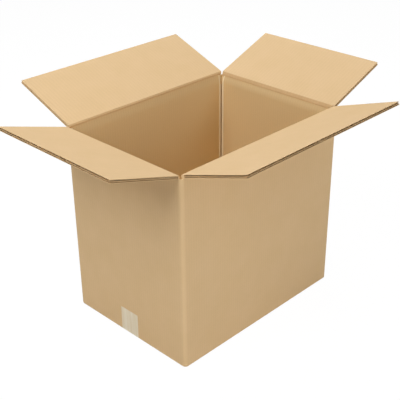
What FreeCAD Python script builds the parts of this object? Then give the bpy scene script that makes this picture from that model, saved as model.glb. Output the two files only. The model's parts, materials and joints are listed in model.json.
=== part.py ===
import FreeCAD, Part
import math
import os
import re
import Sketcher

# Open shipping carton of double-wall corrugated board, millimetres and degrees
#
# One sheet is cut, scored, folded to a sleeve and glued at one corner. Its four
# bottom flaps are folded shut and taped along the seam. Its four top flaps stand
# open. Length runs along X, width along Y, and the origin is the middle of the
# bottom. A depth is measured square to a panel, from its outer face inwards.

doc = FreeCAD.newDocument("open_carton")
sheet = doc.addObject("Spreadsheet::Sheet", "Sizes")

SIZES = {
    # room inside, between the walls and between the closed flaps
    "inside_length": 430.0,
    "inside_width": 310.0,
    "inside_height": 397.0,
    # board: three flat liners with a fine wave outside and a coarse wave inside
    "board": 6.6,
    "liner": 0.35,
    "fine_wave": 2.25,
    "fine_pitch": 6.4,
    "coarse_pitch": 7.9,
    "wave_foot": 0.35,
    "wave_crest": 0.25,
    "side_groove": 2.0,
    "side_margin": 2.6,
    # folds
    "corner_radius": 8.5,
    "bottom_radius": 3.0,
    "layer_gap": 0.35,
    "side_gap": 0.4,
    "seam_gap": 0.8,
    "long_flap_inset": 4.0,
    "short_flap_inset": 5.3,
    "web_radius": 0.6,
    "seat_gap": 0.25,
    "seat_angle": 75.0,
    "long_axis_depth": 3.3,
    "short_axis_depth": 0.6,
    "outer_bevel": 61.0,
    "long_root_bevel": 18.0,
    "short_root_bevel": 24.0,
    "hollow_gap": 0.3,
    "long_bend": 15.0,
    "short_bend": 14.0,
    "crushed_root": 12.0,
    # scored lines inside the upright corners
    "ridge_width": 7.0,
    "ridge_height": 1.5,
    "slit_width": 2.1,
    "slit_depth": 2.6,
    # glued lap of the sleeve
    "lap_width": 35.0,
    "lap_board": 3.4,
    "lap_taper": 10.0,
    "lap_clearance": 8.0,
    "joint_notch": 3.2,
    "joint_round": 4.4,
    # how far each open flap leans out from upright
    "front_lean": 71.3,
    "back_lean": 69.0,
    "left_lean": 72.6,
    "right_lean": 68.9,
    # tape
    "tape_width": 50.0,
    "tape_film": 0.1,
    "tape_rise": 57.0,
}

for row, (name, number) in enumerate(SIZES.items(), start=1):
    sheet.set(f"A{row}", name)
    sheet.set(f"B{row}", str(number))
    sheet.setAlias(f"B{row}", name)
doc.recompute()


def sheet_name(word):
    return f"Sizes.{word[0]}" if word[0] in SIZES else word[0]


def size(formula):
    """Formula over the sheet's cells, written here with their plain names."""
    return f"({re.sub('[a-z_]+', sheet_name, formula)})"


def number_of(formula):
    """Value that a formula has now."""
    return float(sheet.evalExpression(formula))


half_length = size("inside_length / 2 + board")
half_width = size("inside_width / 2 + board")
room_x = size("inside_length / 2")
room_y = size("inside_width / 2")
floor_bottom = size("board + layer_gap")
floor_top = size("2 * board + layer_gap")
short_fold = size("2 * board + layer_gap + inside_height")
closing_step = "board + layer_gap + short_axis_depth - long_axis_depth"
long_fold = size(f"2 * board + layer_gap + inside_height + {closing_step}")
flap_reach = size("inside_width / 2 + board - seam_gap / 2")


def new_body(label):
    """Empty body of one sub-part."""
    body = doc.addObject("PartDesign::Body", label)
    body.Label = label
    return body


def new_sketch(body, name, plane, height=None):
    """Sketch on one of the body's own origin planes, lifted off it by height."""
    sketch = body.newObject("Sketcher::SketchObject", name)
    support = next(f for f in body.Origin.OriginFeatures if f.Role == plane)
    sketch.AttachmentSupport = (support, "")
    sketch.MapMode = "FlatFace"
    if height:
        sketch.setExpression("AttachmentOffset.Base.z", height)
    doc.recompute()
    return sketch


def arc_between(begin, end, radius, turn):
    """Arc that turns left or right from begin to end; a wide one is over half a circle."""
    chord = end - begin
    to_left = FreeCAD.Vector(-chord.y, chord.x, 0).normalize()
    reach = math.sqrt(max(radius ** 2 - chord.Length ** 2 / 4, 0))
    if turn in ("right", "wide left"):
        reach = -reach
    centre = (begin + end) * 0.5 + to_left * reach
    circle = Part.Circle(centre, FreeCAD.Vector(0, 0, 1), radius)
    first, last = circle.parameter(begin), circle.parameter(end)
    if "right" in turn:
        first, last = last, first
    return Part.ArcOfCircle(circle, first, last if last > first else last + 2 * math.pi)


def bind(sketch, parts, formula):
    """Constraint whose value follows a formula."""
    number = sketch.addConstraint(Sketcher.Constraint(*parts, number_of(formula)))
    sketch.setExpression(f"Constraints[{number}]", formula)


def outline(sketch, corners):
    """Closed outline. A corner is (x, y) after a straight run, or
    (x, y, radius, turn) after an arc."""
    places = [FreeCAD.Vector(number_of(c[0]), number_of(c[1]), 0) for c in corners]
    runs = []
    for i, corner in enumerate(corners):
        begin, end = places[i - 1], places[i]
        if len(corner) == 2:
            geometry = sketch.addGeometry(Part.LineSegment(begin, end))
            runs.append((geometry, 1, 2))
        else:
            arc = arc_between(begin, end, number_of(corner[2]), corner[3])
            geometry = sketch.addGeometry(arc)
            runs.append((geometry, 2, 1) if "right" in corner[3] else (geometry, 1, 2))
    for i, corner in enumerate(corners):
        geometry, _, tail = runs[i]
        following, head, _ = runs[(i + 1) % len(runs)]
        sketch.addConstraint(
            Sketcher.Constraint("Coincident", geometry, tail, following, head)
        )
        for kind, formula in (("DistanceX", corner[0]), ("DistanceY", corner[1])):
            bind(sketch, (kind, -1, 1, geometry, tail), formula)
        if len(corner) == 4:
            bind(sketch, ("Radius", geometry), corner[2])


def rectangle(sketch, x0, x1, y0, y1):
    """Closed outline with level and upright sides."""
    outline(sketch, [(x0, y0), (x1, y0), (x1, y1), (x0, y1)])


def pad(body, name, sketch, length, symmetric=False, backwards=False):
    """Board added square to a sketch."""
    feature = body.newObject("PartDesign::Pad", name)
    feature.Profile = sketch
    feature.Reversed = backwards
    feature.setExpression("Length", length)
    if symmetric:
        feature.SideType = "Symmetric"
    doc.recompute()
    return feature


def pocket(body, name, sketch, length=None, symmetric=False, upwards=False):
    """Board cut away square to a sketch; the volume must go down."""
    before = body.Shape.Volume
    feature = body.newObject("PartDesign::Pocket", name)
    feature.Profile = sketch
    feature.Reversed = upwards
    if symmetric:
        feature.SideType = "Symmetric"
    if length:
        feature.setExpression("Length", length)
    else:
        feature.Type = "ThroughAll"
    doc.recompute()
    if body.Shape.Volume >= before:
        raise ValueError(f"{name} cuts nothing")
    return feature


# Carton body: the sleeve of four walls and the shut bottom flaps

carton = new_body("carton_body")

plan = new_sketch(carton, "sleeve_plan", "XY_Plane")
radius = size("corner_radius")
outline(plan, [
    (f"-{half_length}", f"-{half_width} + {radius}"),
    (f"-{half_length} + {radius}", f"-{half_width}", radius, "left"),
    (half_length, f"-{half_width}"),
    (half_length, f"{half_width} - {radius}"),
    (f"{half_length} - {radius}", half_width, radius, "left"),
    (f"-{half_length} + {radius}", half_width),
    (f"-{half_length}", f"{half_width} - {radius}", radius, "left"),
])
rectangle(plan, f"-{room_x}", room_x, f"-{room_y}", room_y)
sleeve = pad(carton, "sleeve", plan, long_fold)

# the folds at the bottom are rounded where the outer liner turns under
TOUCH = 0.001


def turns_under(edge):
    """Whether an edge of the sleeve runs along the bottom, outside the room."""
    box = edge.BoundBox
    beyond_end = max(abs(box.XMin), abs(box.XMax)) > number_of(room_x) + TOUCH
    beyond_side = max(abs(box.YMin), abs(box.YMax)) > number_of(room_y) + TOUCH
    return box.ZMax < TOUCH and (beyond_end or beyond_side)


round_feet = carton.newObject("PartDesign::Fillet", "round_feet")
feet = [f"Edge{i}" for i, edge in enumerate(sleeve.Shape.Edges, start=1) if turns_under(edge)]
round_feet.Base = (sleeve, feet)
round_feet.setExpression("Radius", size("bottom_radius"))
doc.recompute()

# under their fold the end walls thin to a lip that hangs past the long flaps' ends
lip = new_sketch(carton, "lip_plan", "XY_Plane")
lip_edge = size("inside_length / 2 + board - long_flap_inset + side_gap")
rectangle(lip, room_x, lip_edge, f"-{room_y}", room_y)
rectangle(lip, f"-{lip_edge}", f"-{room_x}", f"-{room_y}", room_y)
pocket(carton, "end_lips", lip, floor_bottom, upwards=True)

# outer bottom flaps, hinged at the long walls, meet at the seam
outer = new_sketch(carton, "outer_flap_plan", "XY_Plane")
outer_end = size("inside_length / 2 + board - long_flap_inset")
seam = size("seam_gap / 2")
rectangle(outer, f"-{outer_end}", outer_end, seam, room_y)
rectangle(outer, f"-{outer_end}", outer_end, f"-{room_y}", f"-{seam}")
pad(carton, "outer_bottom_flaps", outer, size("board"))

# inner bottom flaps, hinged at the end walls, lie on the outer ones
inner = new_sketch(carton, "inner_flap_plan", "XY_Plane", floor_bottom)
inner_side = size("inside_width / 2 - side_gap")
inner_end = size("inside_length / 2 - inside_width / 2 + seam_gap / 2")
rectangle(inner, inner_end, room_x, f"-{inner_side}", inner_side)
rectangle(inner, f"-{room_x}", f"-{inner_end}", f"-{inner_side}", inner_side)
pad(carton, "inner_bottom_flaps", inner, size("board"))

# scored lines inside the folded corners: two ridges with a slit between them
ridges = new_sketch(carton, "ridge_plan", "XY_Plane", floor_top)
slits = new_sketch(carton, "slit_plan", "XY_Plane", floor_top)
proud = size("ridge_height")
broad = size("ridge_width")
wide = size("ridge_height + slit_width")
deep = f"-{size('slit_depth')}"
for side_x, side_y in (("-", "-"), ("-", ""), ("", "")):
    def corner(points):
        """Places given from the inside corner, along the end wall and the long wall."""
        return [(f"{side_x}({room_x} - ({p}))", f"{side_y}({room_y} - ({q}))") for p, q in points]
    outline(ridges, corner([("0", "0"), (broad, "0"), (wide, proud), (proud, wide), ("0", broad)]))
    outline(slits, corner([(wide, proud), (deep, deep), (proud, wide), (wide, wide)]))
pad(carton, "corner_ridges", ridges, f"{long_fold} - {floor_top}")
pocket(carton, "corner_slits", slits, upwards=True)

# the sleeve's joint: a lap from the right end wall, glued inside the front wall,
# whose raw edge stands beside the rounded fold of the lap
lap = new_sketch(carton, "lap_side", "XZ_Plane", room_y)
lap_low = size("2 * board + layer_gap + lap_clearance")
lap_high = f"{short_fold} - {size('board - short_axis_depth + lap_clearance')}"
lap_end = size("inside_length / 2 - lap_width")
taper = size("lap_taper")
outline(lap, [
    (room_x, lap_low), (room_x, lap_high),
    (lap_end, f"{lap_high} - {taper}"), (lap_end, f"{lap_low} + {taper}"),
])
pad(carton, "glued_lap", lap, size("lap_board"), backwards=True)
notch = new_sketch(carton, "joint_plan", "XY_Plane")
notch_depth = size("joint_notch")
turned = f"-{room_y} + {size('joint_round')}"
outside = f"{half_length} + {notch_depth}"
outline(notch, [
    (outside, f"-{room_y}"),
    (outside, turned),
    (half_length, turned),
    (
        f"{half_length} - {notch_depth}", f"-{room_y}",
        size("(joint_notch ^ 2 + joint_round ^ 2) / (2 * joint_notch)"), "right",
    ),
])
pocket(carton, "joint_notch_cut", notch, upwards=True)

# top folds: each wall ends in a crest with a round seat for the flap's bead and a bevel
# that stops the flap outside; inside, the wall bends out below it to clear what is
# folded in: its own flap's root, and on the long walls the short flaps' sides
bevel = size("outer_bevel")
seat_angle = size("seat_angle")
seat_radius = size("web_radius + seat_gap")
inside_face = size("board")
clear_of_ridges = size("board + 2 * ridge_height")
FOLDS = {
    "long": {
        "axis": size("long_axis_depth"),
        "height": long_fold,
        "hollow": size("short_flap_inset - hollow_gap"),
        "drop": size("2 * board + layer_gap - long_axis_depth"),
        "bend": size("long_bend"),
    },
    "short": {
        "axis": size("short_axis_depth"),
        "height": short_fold,
        "hollow": size(
            "short_axis_depth + (board - short_axis_depth) * tan(short_root_bevel) - hollow_gap"
        ),
        "drop": size("board - short_axis_depth"),
        "bend": size("short_bend"),
    },
}


def fold_points(fold):
    """Formulas of a wall's crest at a top fold, as depths and heights."""
    axis, height = fold["axis"], fold["height"]
    return {
        "bevel_foot": (f"-{axis}", f"{height} - 2 * {axis} * tan({bevel})"),
        "seat_out": (
            f"{axis} - {seat_radius} * cos({bevel})",
            f"{height} - {seat_radius} * sin({bevel})",
        ),
        "seat_in": (
            f"{axis} + {seat_radius} * cos({seat_angle})",
            f"{height} - {seat_radius} * sin({seat_angle})",
        ),
        "hollow": (fold["hollow"], f"{height} - {fold['drop']}"),
        "foot": (inside_face, f"{height} - {fold['drop']} - {fold['bend']}"),
    }


def cut_fold(name, plane, half_span, run, fold):
    """Crest and inner bend of the two walls that stand at plus and minus half_span."""
    points = fold_points(fold)
    above = f"{fold['height']} + {inside_face}"
    within = size("2 * board")
    fall = f"({inside_face} - {fold['hollow']})"
    bend_radius = f"({fall} ^ 2 + {fold['bend']} ^ 2) / (2 * {fall})"
    crest = new_sketch(carton, f"{name}_crest", plane)
    bend = new_sketch(carton, f"{name}_bend", plane)
    for side, turns in (("", ("left", "right")), ("-", ("right", "left"))):
        def at(point):
            """Place of a depth and a height on this wall."""
            return f"{side}({half_span} - ({point[0]}))", point[1]
        seat_in = points["seat_in"]
        outline(crest, [
            at((points["bevel_foot"][0], above)),
            at(points["bevel_foot"]),
            at(points["seat_out"]),
            (*at(seat_in), seat_radius, turns[1]),
            at((within, seat_in[1])),
            at((within, above)),
        ])
        outline(bend, [
            at(seat_in),
            at(points["hollow"]),
            (*at(points["foot"]), bend_radius, turns[0]),
            at((clear_of_ridges, points["foot"][1])),
            at((clear_of_ridges, seat_in[1])),
        ])
    pocket(carton, f"{name}_crests", crest, symmetric=True)
    pocket(carton, f"{name}_bends", bend, f"2 * {run}", symmetric=True)


folded_in = size("inside_width / 2 + board - short_flap_inset + side_gap")
cut_fold("long_wall", "YZ_Plane", half_width, room_x, FOLDS["long"])
cut_fold("end_wall", "XZ_Plane", half_length, folded_in, FOLDS["short"])

# Bottom tape: one strip along the seam and up both end walls, pressed in flush
# with the floor, so the board under it is relieved by the film's thickness

film = size("tape_film")
foot = size("bottom_radius")
rise = size("bottom_radius + tape_film")
face = size("inside_length / 2 + board + tape_film")
beyond = f"{half_length} + {foot}"
straight = size("inside_length / 2 + board - bottom_radius")

relief = new_sketch(carton, "tape_relief_side", "XZ_Plane")
outline(relief, [
    (beyond, f"-{foot}"), (beyond, rise), (half_length, rise),
    (straight, film, foot, "right"), (f"-{straight}", film),
    (f"-{half_length}", rise, foot, "right"), (f"-({beyond})", rise),
    (f"-({beyond})", f"-{foot}"),
])
pocket(carton, "tape_relief", relief, size("tape_width"), symmetric=True)

tape = new_body("bottom_tape")
strip = new_sketch(tape, "strip_side", "XZ_Plane")
top = size("tape_rise")
outline(strip, [
    (face, top), (face, rise), (straight, "0", rise, "right"),
    (f"-{straight}", "0"), (f"-{face}", rise, rise, "right"), (f"-{face}", top),
    (f"-{half_length}", top), (f"-{half_length}", rise),
    (f"-{straight}", film, foot, "left"), (straight, film),
    (half_length, rise, foot, "left"), (half_length, top),
])
pad(tape, "strip", strip, size("tape_width"), symmetric=True)


# Top flaps: each is modelled upright on its own hinge line, along X, with the
# inside of the carton towards +Y, then turned to its wall and leant out

def channel_count(half_span, pitch):
    """Formula for how many waves of one pitch fit between the side grooves."""
    return f"floor((2 * {half_span} - 2 * {size('side_margin')} - {pitch} / 2) / {pitch})"


def cut_channels(body, name, half_span, reach, band, pitch):
    """First pair of a wave's channels, open at the free edge: one stands on the
    lower liner and its neighbour hangs from the upper one."""
    low, high = band
    start = f"(-({channel_count(half_span, pitch)} + 0.5) * {pitch} / 2)"
    at_foot, crest = size("wave_foot"), size("wave_crest")
    pair = new_sketch(body, f"{name}_pair_plan", "XY_Plane", reach)
    outline(pair, [
        (f"{start} + {at_foot}", low),
        (f"{start} + {pitch} - {at_foot}", low),
        (f"{start} + {pitch} / 2", f"{high} - {crest}"),
    ])
    outline(pair, [
        (f"{start} + {pitch} / 2 + {at_foot}", high),
        (f"{start} + {pitch}", f"{low} + {crest}"),
        (f"{start} + {pitch} * 1.5 - {at_foot}", high),
    ])
    return pocket(body, f"{name}_pair", pair, f"{reach} - {size('crushed_root')}")


def repeat_channels(body, channels, half_span, pitch):
    """Row of channels across the flap."""
    row = body.newObject("PartDesign::LinearPattern", f"{channels.Label}_row")
    row.Originals = [channels]
    along = next(f for f in body.Origin.OriginFeatures if f.Role == "X_Axis")
    row.Direction = (along, [""])
    row.Mode = "Spacing"
    row.setExpression("Offset", pitch)
    row.setExpression("Occurrences", channel_count(half_span, pitch))
    body.Tip = row
    doc.recompute()


def make_flap(label, half_span, axis, root, fold_height, lean, yaw, place):
    """Top flap of the wall whose hinge line lies at place, an x and y formula."""
    body = new_body(label)
    depth = size(axis)
    inner = size(f"board - {axis}")
    reach = f"({flap_reach} - {depth})"
    web, root = size("web_radius"), size(root)
    section = new_sketch(body, f"{label}_section", "YZ_Plane")
    outline(section, [
        (f"-{web} * cos({bevel})", f"{web} * sin({bevel})", web, "wide right"),
        (f"-{depth}", f"{depth} * tan({bevel})"),
        (f"-{depth}", reach),
        (inner, reach),
        (inner, f"{inner} * tan({root})"),
        (f"{web} * cos({root})", f"{web} * sin({root})"),
    ])
    pad(body, f"{label}_board", section, f"2 * {half_span}", symmetric=True)
    waves = {
        "fine": (size(f"liner - {axis}"), size(f"liner + fine_wave - {axis}")),
        "coarse": (size(f"2 * liner + fine_wave - {axis}"), size(f"board - liner - {axis}")),
    }
    sides = new_sketch(body, f"{label}_side_plan", "XY_Plane", reach)
    groove = f"{half_span} - {size('side_groove')}"
    for low, high in waves.values():
        rectangle(sides, groove, half_span, low, high)
        rectangle(sides, f"-{half_span}", f"-({groove})", low, high)
    pocket(body, f"{label}_side_grooves", sides, f"{reach} - {size('crushed_root')}")
    pairs = [
        cut_channels(body, f"{label}_{wave}", half_span, reach, band, size(f"{wave}_pitch"))
        for wave, band in waves.items()
    ]
    for wave, channels in zip(waves, pairs):
        repeat_channels(body, channels, half_span, size(f"{wave}_pitch"))
    vector = f"create(<<vector>>; {place[0]}; {place[1]}; {fold_height})"
    turn = f"create(<<rotation>>; {yaw}; 0; {size(lean)})"
    body.setExpression("Placement", f"create(<<placement>>; {vector}; {turn})")
    doc.recompute()
    return body


long_span = size("(inside_length / 2 + board - long_flap_inset)")
short_span = size("(inside_width / 2 + board - short_flap_inset)")
long_hinge = size("(inside_width / 2 + board - long_axis_depth)")
short_hinge = size("(inside_length / 2 + board - short_axis_depth)")
flaps = [
    make_flap("front_flap", long_span, "long_axis_depth", "long_root_bevel",
              long_fold, "front_lean", "0", ("0", f"-{long_hinge}")),
    make_flap("back_flap", long_span, "long_axis_depth", "long_root_bevel",
              long_fold, "back_lean", "180", ("0", long_hinge)),
    make_flap("left_flap", short_span, "short_axis_depth", "short_root_bevel",
              short_fold, "left_lean", "-90", (f"-{short_hinge}", "0")),
    make_flap("right_flap", short_span, "short_axis_depth", "short_root_bevel",
              short_fold, "right_lean", "90", (short_hinge, "0")),
]

# Every object must have worked out, and each sub-part is written by its own name

doc.recompute()
for item in doc.Objects:
    if {"Invalid", "Error"} & set(item.State):
        raise ValueError(f"{item.Label} failed: {item.State}")
os.makedirs("parts", exist_ok=True)
for body in [carton, tape] + flaps:
    shape = body.Shape
    if shape.isNull() or not shape.isValid() or len(shape.Solids) != 1:
        raise ValueError(f"{body.Label} is not one valid solid")
    shape.exportStep(f"parts/{body.Label}.step")
    print(body.Label, round(shape.Volume / 1000, 1), "cm3")
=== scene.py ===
import json
import math
import bmesh
import bpy
from mathutils import Matrix, Vector


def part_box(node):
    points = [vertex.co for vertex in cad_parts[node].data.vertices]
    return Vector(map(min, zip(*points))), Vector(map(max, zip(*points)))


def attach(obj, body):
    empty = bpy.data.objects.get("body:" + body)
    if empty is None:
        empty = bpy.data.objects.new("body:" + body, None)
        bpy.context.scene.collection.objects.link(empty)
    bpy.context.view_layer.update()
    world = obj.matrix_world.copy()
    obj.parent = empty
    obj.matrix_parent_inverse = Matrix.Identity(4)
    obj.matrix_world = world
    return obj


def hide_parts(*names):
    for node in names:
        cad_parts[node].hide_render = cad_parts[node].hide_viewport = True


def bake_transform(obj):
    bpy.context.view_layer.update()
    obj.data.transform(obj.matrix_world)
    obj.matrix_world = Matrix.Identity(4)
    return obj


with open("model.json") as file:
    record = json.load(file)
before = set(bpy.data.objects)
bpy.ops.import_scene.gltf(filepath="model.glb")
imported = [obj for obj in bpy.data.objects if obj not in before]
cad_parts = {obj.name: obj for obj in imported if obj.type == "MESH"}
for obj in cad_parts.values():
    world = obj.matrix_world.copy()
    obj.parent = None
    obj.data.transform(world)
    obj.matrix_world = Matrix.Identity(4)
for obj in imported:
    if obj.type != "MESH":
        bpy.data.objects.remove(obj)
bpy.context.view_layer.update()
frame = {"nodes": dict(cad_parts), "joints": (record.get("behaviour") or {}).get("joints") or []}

# Carton body
# One sheet of double-wall corrugated board, folded to a sleeve, glued at one corner
# and closed at the bottom. Kraft paper liners: matt, with short fibres, a cloudy tone
# and faint upright lines where the glued wave draws the liner in, shown by a bump and by
# painted shade in the sunken strips; inside, a painted highlight runs along the creased ridges.


def linear(code):
    """Linear colour of an sRGB hex code."""
    parts = [int(code[i:i + 2], 16) / 255 for i in (1, 3, 5)]
    return [p / 12.92 if p <= 0.04045 else ((p + 0.055) / 1.055) ** 2.4 for p in parts] + [1]


def add(tree, kind, settings=(), **inputs):
    """Shader node of a kind, with its settings and with what its inputs hold or follow."""
    node = tree.nodes.new(kind)
    for name, value in dict(settings).items():
        setattr(node, name, value)
    for name, value in inputs.items():
        spoken = name.replace("_", " ")
        socket = node.inputs[int(name[1:]) if name[1:].isdigit() else spoken]
        if isinstance(value, bpy.types.NodeSocket):
            tree.links.new(value, socket)
        else:
            socket.default_value = value
    return node


INNER_LINER = "#E9CB98"


def kraft_liner(name, across, tone="#ECCA9A", depth="#E9C795", wave=0.0064):
    """Kraft liner paper whose faint lines follow the waves of the board under it, drawn by a bump
    and by painted shade in the sunken strips between the wave's tips. across is the direction square
    to the waves: X, Y, or walls, where each wall has its own and the faces towards the middle show
    the inner liner, with a painted highlight on the creased ridges near the corners."""
    material = bpy.data.materials.new(name)
    material.use_nodes = True
    tree = material.node_tree
    tree.nodes.clear()
    place = add(tree, "ShaderNodeTexCoord").outputs["Object"]
    along = add(tree, "ShaderNodeSeparateXYZ", Vector=place)
    if across == "walls":
        normal = add(tree, "ShaderNodeNewGeometry").outputs["Normal"]
        facing = add(tree, "ShaderNodeSeparateXYZ", Vector=normal)
        lengthwise = add(tree, "ShaderNodeMath", {"operation": "ABSOLUTE"}, _0=facing.outputs["X"])
        end = add(tree, "ShaderNodeMath", {"operation": "GREATER_THAN"}, _0=lengthwise.outputs[0], _1=0.6)
        phase = add(tree, "ShaderNodeMix", _0=end.outputs[0], _2=along.outputs["X"],
                    _3=along.outputs["Y"]).outputs[0]
        level = add(tree, "ShaderNodeVectorMath", {"operation": "MULTIPLY"}, _0=place, _1=(1.0, 1.0, 0.0))
        outwards = add(tree, "ShaderNodeVectorMath", {"operation": "DOT_PRODUCT"}, _0=level.outputs[0],
                       _1=normal)
        inside = add(tree, "ShaderNodeMath", {"operation": "LESS_THAN"}, _0=outwards.outputs["Value"], _1=0.001)
        # the creased ridges lie 3.6 to 7 mm from the room's corners; their paper is painted pale there as a
        # highlight, where the ridge faces turn towards the light
        ridge = add(tree, "ShaderNodeMix", _0=end.outputs[0], _2=0.2097, _3=0.1497)
        mirrored = add(tree, "ShaderNodeMath", {"operation": "ABSOLUTE"}, _0=phase)
        painted_highlight_band = add(tree, "ShaderNodeMath", {"operation": "COMPARE"}, _0=mirrored.outputs[0],
                     _1=ridge.outputs[0], _2=0.0017)
        painted_ridge_highlight = add(tree, "ShaderNodeMath", {"operation": "MULTIPLY"}, _0=painted_highlight_band.outputs[0],
                     _1=inside.outputs[0])
    else:
        phase = along.outputs[across]
    turns = add(tree, "ShaderNodeMath", {"operation": "MULTIPLY"}, _0=phase, _1=2 * math.pi / wave)
    lines = add(tree, "ShaderNodeMath", {"operation": "SINE"}, _0=turns.outputs[0])
    # clouds of 45 mm in the pulp, and fibres of 2 mm, drawn as coarse as they need to show
    clouds = add(tree, "ShaderNodeTexNoise", Vector=place, Scale=1 / 0.045, Detail=3.0, Roughness=0.55)
    fibres = add(tree, "ShaderNodeTexNoise", Vector=place, Scale=1 / 0.002, Detail=4.0, Roughness=0.7)
    cloudy = add(tree, "ShaderNodeMapRange", Value=clouds.outputs["Fac"], From_Min=0.3, From_Max=0.7)
    speck = add(tree, "ShaderNodeMapRange", Value=fibres.outputs["Fac"], From_Min=0.3, From_Max=0.7,
                To_Min=0.98, To_Max=1.015)
    pulp = add(tree, "ShaderNodeMix", {"data_type": "RGBA"}, _0=cloudy.outputs["Result"],
               _6=linear(tone), _7=linear(depth)).outputs[2]
    if across == "walls":
        lined = add(tree, "ShaderNodeMix", {"data_type": "RGBA"}, _0=inside.outputs[0], _6=pulp,
                    _7=linear(INNER_LINER))
        # painted highlight: on the creased ridges of the inner faces the paper is mixed to a pale cream
        pulp = add(tree, "ShaderNodeMix", {"data_type": "RGBA"}, _0=painted_ridge_highlight.outputs[0], _6=lined.outputs[2],
                   _7=linear("#FBEBC8")).outputs[2]
    # painted shade: the paper is made 1.5 % darker in the sunken strips between the wave's tips and 1 % lighter
    # over the tips
    painted_rib_shade = add(tree, "ShaderNodeMapRange", Value=lines.outputs[0], From_Min=-1.0, From_Max=1.0,
                 To_Min=0.985, To_Max=1.01)
    shade = add(tree, "ShaderNodeMath", {"operation": "MULTIPLY"}, _0=speck.outputs["Result"],
                _1=painted_rib_shade.outputs["Result"])
    colour = add(tree, "ShaderNodeVectorMath", {"operation": "SCALE"}, _0=pulp, _3=shade.outputs[0])
    # the liner sinks about 0.05 mm between the wave's tips, and its fibres stand 0.03 mm
    washboard = add(tree, "ShaderNodeBump", Height=lines.outputs[0], Distance=0.000025)
    grain = add(tree, "ShaderNodeBump", Height=fibres.outputs["Fac"], Distance=0.00012,
                Normal=washboard.outputs["Normal"])
    surface = add(tree, "ShaderNodeBsdfPrincipled", Base_Color=colour.outputs[0], Roughness=0.78,
                  IOR=1.45, Normal=grain.outputs["Normal"])
    add(tree, "ShaderNodeOutputMaterial", Surface=surface.outputs[0])
    return material


def paint(piece, material):
    """Give a piece one material."""
    piece.data.materials.clear()
    piece.data.materials.append(material)


carton = frame["nodes"]["carton_body"]
paint(carton, kraft_liner("kraft_liner_of_walls", "walls"))

# Bottom tape
# One strip of clear polypropylene packing tape, pressed on along the bottom seam and
# up both end walls. The film has a low gloss and pales the board that shows through.


def packing_film(name):
    material = bpy.data.materials.new(name)
    material.use_nodes = True
    tree = material.node_tree
    tree.nodes.clear()
    place = add(tree, "ShaderNodeTexCoord").outputs["Object"]
    # streaks of trapped air run along the strip, a few millimetres wide
    stretched = add(tree, "ShaderNodeMapping", Vector=place, Scale=(6.0, 220.0, 12.0))
    streaks = add(tree, "ShaderNodeTexNoise", Vector=stretched.outputs[0], Scale=1.0, Detail=2.0)
    share = add(tree, "ShaderNodeMapRange", Value=streaks.outputs["Fac"], From_Min=0.35, From_Max=0.7)
    colour = add(tree, "ShaderNodeMix", {"data_type": "RGBA"}, _0=share.outputs["Result"],
                 _6=linear("#F1E0BE"), _7=linear("#FBEFD6"))
    surface = add(tree, "ShaderNodeBsdfPrincipled", Base_Color=colour.outputs[2], Roughness=0.38, IOR=1.49)
    add(tree, "ShaderNodeOutputMaterial", Surface=surface.outputs[0])
    return material


tape = frame["nodes"]["bottom_tape"]
paint(tape, packing_film("clear_polypropylene_film"))

# Top flaps
# Four panels of the same sheet: three flat liners with a fine wave outside and a coarse
# wave inside. The waves run from the fold to the free edge, where they are cut open,
# and reach almost to the flap's sides. Next to the fold the score crushed the board solid.

BOARD = 0.0066
LINER = 0.0006
FINE_WAVE = 0.0019
OUTER_BEVEL = math.radians(61)
SIDES = {
    "front": {"yaw": 0, "across": "X", "root": 18},
    "back": {"yaw": 180, "across": "X", "root": 18},
    "left": {"yaw": -90, "across": "Y", "root": 24},
    "right": {"yaw": 90, "across": "Y", "root": 24},
}
wall_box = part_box("carton_body")


def fold_of(side):
    """A flap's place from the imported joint: its hinge line's frame on the upright wall,
    its lean out from upright, its axis depth in the board, half its span and its reach."""
    joint = next(j for j in frame["joints"] if j["child"] == f"{side}_flap")
    place = Vector(joint["pos_m"])
    wall = Matrix.Translation(place) @ Matrix.Rotation(math.radians(SIDES[side]["yaw"]), 4, "Z")
    lean = math.radians(-90 - joint["range_deg"][0])
    axis = 1 if SIDES[side]["across"] == "X" else 0
    depth = wall_box[1][axis] - abs(place[axis])
    low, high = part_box(f"{side}_flap")
    half_span = (high[1 - axis] - low[1 - axis]) / 2
    reach = wall_box[1][1] - 0.0004 - depth
    return wall, lean, depth, half_span, reach


def piece_from(name, bm):
    """Object of a finished bmesh, in place."""
    bmesh.ops.recalc_face_normals(bm, faces=bm.faces)
    mesh = bpy.data.meshes.new(name)
    bm.to_mesh(mesh)
    bm.free()
    piece = bpy.data.objects.new(name, mesh)
    bpy.context.scene.collection.objects.link(piece)
    return piece


def long_bar(outline, half_span, place):
    """Bmesh of a section, drawn square to the fold, drawn out along it."""
    bm = bmesh.new()
    corners = [bm.verts.new((-half_span, *point)) for point in outline]
    face = bm.faces.new(corners)
    grown = bmesh.ops.extrude_face_region(bm, geom=[face])
    moved = [v for v in grown["geom"] if isinstance(v, bmesh.types.BMVert)]
    bmesh.ops.translate(bm, verts=moved, vec=(2 * half_span, 0, 0))
    bmesh.ops.transform(bm, matrix=place, verts=bm.verts)
    return bm


def wave_sheet(bm, half_span, low, high, centre, height, pitch, thickness=0.0009, steps=10):
    """One wave of medium paper between two liners, from the crushed root to the free edge."""
    count = int(2 * half_span / pitch) * steps
    made = bmesh.ops.create_grid(bm, x_segments=count, y_segments=1, size=1)["verts"]
    for vert in made:
        along = vert.co.x * half_span
        lift = (height - thickness) / 2 * math.sin(2 * math.pi * along / pitch)
        vert.co = (along, centre + lift, low if vert.co.y < 0 else high)
    faces = {face for vert in made for face in vert.link_faces}
    bmesh.ops.solidify(bm, geom=list(faces), thickness=thickness)


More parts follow.
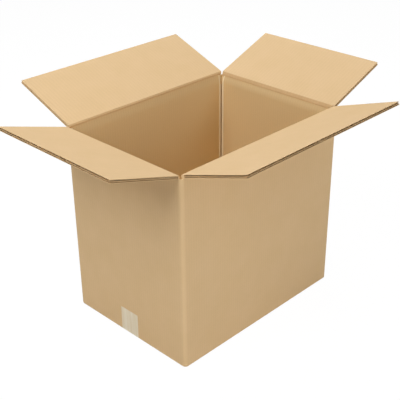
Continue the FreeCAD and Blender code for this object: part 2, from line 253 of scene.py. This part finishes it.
medium_paper = kraft_liner("wave_medium_paper", "X", "#F2DCB4", "#EFD8AE")
for side, seat in SIDES.items():
    wall, lean, depth, half_span, reach = fold_of(side)
    place = wall @ Matrix.Rotation(lean, 4, "X")
    inner = BOARD - depth
    middle = LINER + FINE_WAVE - depth
    root = math.radians(seat["root"])
    crushed = 0.0005 + max(depth * math.tan(OUTER_BEVEL), inner * math.tan(root))
    outline = [
        (-depth, depth * math.tan(OUTER_BEVEL)), (-depth, reach), (LINER - depth, reach),
        (LINER - depth, crushed), (middle, crushed), (middle, reach),
        (middle + LINER, reach), (middle + LINER, crushed), (inner - LINER, crushed),
        (inner - LINER, reach), (inner, reach), (inner, inner * math.tan(root)),
        (0.0005, 0.0002), (-0.0003, 0.0005),
    ]
    liners = piece_from(f"{side}_flap_liners", long_bar(outline, half_span, place))
    paint(liners, kraft_liner(f"kraft_liner_of_{side}_flap", seat["across"], wave=0.0079))
    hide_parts(f"{side}_flap")
    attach(liners, f"{side}_flap")

    bm = bmesh.new()
    fine_centre = LINER + FINE_WAVE / 2 - depth
    coarse_low = middle + LINER
    coarse_high = inner - LINER
    wave_sheet(bm, half_span - 0.0003, crushed, reach - 0.0001, fine_centre, FINE_WAVE, 0.0064)
    wave_sheet(bm, half_span - 0.0003, crushed, reach - 0.0001, (coarse_low + coarse_high) / 2,
               coarse_high - coarse_low, 0.0079)
    bmesh.ops.transform(bm, matrix=place, verts=bm.verts)
    waves = piece_from(f"{side}_flap_waves", bm)
    paint(waves, medium_paper)
    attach(waves, f"{side}_flap")

# Folds
# Between each wall and its flap the score has crushed the board. Outside, the liner
# tucks into the crease, and inside it is drawn over it, so the paper is never broken.


def polar(radius, angle):
    """Point at a radius in millimetres and an angle from the inward direction, upwards."""
    turn = math.radians(angle)
    return radius / 1000 * math.cos(turn), radius / 1000 * math.sin(turn)


for side, seat in SIDES.items():
    wall, lean, depth, half_span, reach = fold_of(side)
    out = math.degrees(lean)
    foot = depth / math.cos(OUTER_BEVEL) * 1000
    inner = (BOARD - depth) * 1000 / math.cos(math.radians(seat["root"]))
    v_wall, v_flap = 241.0, 119.0 + out
    crease = (v_wall + v_flap) / 2
    section = [
        (foot, v_wall), (foot * 0.78, v_wall - 12), (foot * 0.66, crease + 4.5), (foot * 0.6, crease),
        (foot * 0.66, crease - 4.5), (foot * 0.78, v_flap + 12), (foot, v_flap),
        (inner, seat["root"] + out), (inner * 0.5, seat["root"] + out - 14), (1.7, 45), (1.5, 0), (1.6, -35),
        (3.2, -74),
    ]
    bm = long_bar([polar(*point) for point in section], half_span - 0.0004, wall)
    web = piece_from(f"{side}_fold", bm)
    paint(web, bpy.data.materials[f"kraft_liner_of_{side}_flap"])
    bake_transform(web)

# Studio
# A pale floor and a white surround, four soft lamps, and the camera.


def looked_at(tree):
    """1 where a ray comes from the camera, straight, mirrored or through something, else 0."""
    path = add(tree, "ShaderNodeLightPath")
    straight = add(tree, "ShaderNodeMath", {"operation": "MAXIMUM"}, _0=path.outputs["Is Camera Ray"],
                   _1=path.outputs["Is Glossy Ray"])
    either = add(tree, "ShaderNodeMath", {"operation": "MAXIMUM"}, _0=straight.outputs[0],
                 _1=path.outputs["Is Transmission Ray"])
    return either.outputs[0]


def pale_stage(name, colour, shown):
    """Matt floor that keeps its shadow; straight to the camera it is lifted to white."""
    material = bpy.data.materials.new(name)
    material.use_nodes = True
    tree = material.node_tree
    tree.nodes.clear()
    matt = add(tree, "ShaderNodeBsdfDiffuse", Color=colour)
    seen_matt = add(tree, "ShaderNodeBsdfDiffuse", Color=[c * (1 - shown) for c in colour[:3]] + [1])
    glow = add(tree, "ShaderNodeEmission", Color=(1, 1, 1, 1), Strength=shown * 1.045)
    seen = add(tree, "ShaderNodeAddShader", _0=seen_matt.outputs[0], _1=glow.outputs[0])
    surface = add(tree, "ShaderNodeMixShader", _0=looked_at(tree), _1=matt.outputs[0], _2=seen.outputs[0])
    add(tree, "ShaderNodeOutputMaterial", Surface=surface.outputs[0])
    return material


bm = bmesh.new()
bmesh.ops.create_grid(bm, x_segments=1, y_segments=1, size=6)
bmesh.ops.translate(bm, verts=bm.verts, vec=(0, 0, -0.0002))
floor = piece_from("studio_floor", bm)
paint(floor, pale_stage("white_paper_floor", (0.7, 0.7, 0.7, 1), 0.93))

world = bpy.data.worlds.new("white_surround")
world.use_nodes = True
tree = world.node_tree
tree.nodes.clear()
strength = add(tree, "ShaderNodeMix", _0=looked_at(tree), _2=0.02, _3=1.0)
sky = add(tree, "ShaderNodeBackground", Color=(1, 1, 1, 1), Strength=strength.outputs[0])
add(tree, "ShaderNodeOutputWorld", Surface=sky.outputs[0])
bpy.context.scene.world = world

# metres and watts
LAMPS = {
    "key": ((-1.7, -0.1, 2.0), 1.4, 31),
    "fill": ((1.0, -1.7, 1.9), 1.4, 11),
    "back": ((0.9, 1.2, 2.2), 1.4, 29),
    "low": ((-0.8, -2.2, 0.6), 1.5, 18),
}
for name, (place, width, power) in LAMPS.items():
    lamp = bpy.data.lights.new(name, "AREA")
    lamp.shape = "SQUARE"
    lamp.size = width
    lamp.energy = power
    softbox = bpy.data.objects.new(name, lamp)
    softbox.location = place
    softbox.rotation_euler = (Vector((0, 0, 0.3)) - softbox.location).to_track_quat("-Z", "Y").to_euler()
    bpy.context.scene.collection.objects.link(softbox)

view = bpy.data.cameras.new("camera")
view.lens = 75.22
view.shift_x, view.shift_y = 0.0014, -0.0003
view.clip_start, view.clip_end = 0.05, 40
camera = bpy.data.objects.new("camera", view)
azimuth, elevation, roll = math.radians(-45.14), math.radians(28.04), math.radians(-0.62)
back = Vector((math.sin(azimuth) * math.cos(elevation), -math.cos(azimuth) * math.cos(elevation),
               math.sin(elevation)))
right = Vector((math.cos(azimuth), math.sin(azimuth), 0))
up = back.cross(right)
level, upright = right.copy(), up.copy()
right = math.cos(roll) * level + math.sin(roll) * upright
up = math.cos(roll) * upright - math.sin(roll) * level
turned = Matrix((right, up, back)).transposed().to_4x4()
camera.matrix_world = Matrix.Translation(Vector((-0.03356, -0.01786, 0.2468)) + back * 1.7184) @ turned
bpy.context.scene.collection.objects.link(camera)
bpy.context.scene.camera = camera
bpy.context.scene.view_settings.view_transform = "Standard"
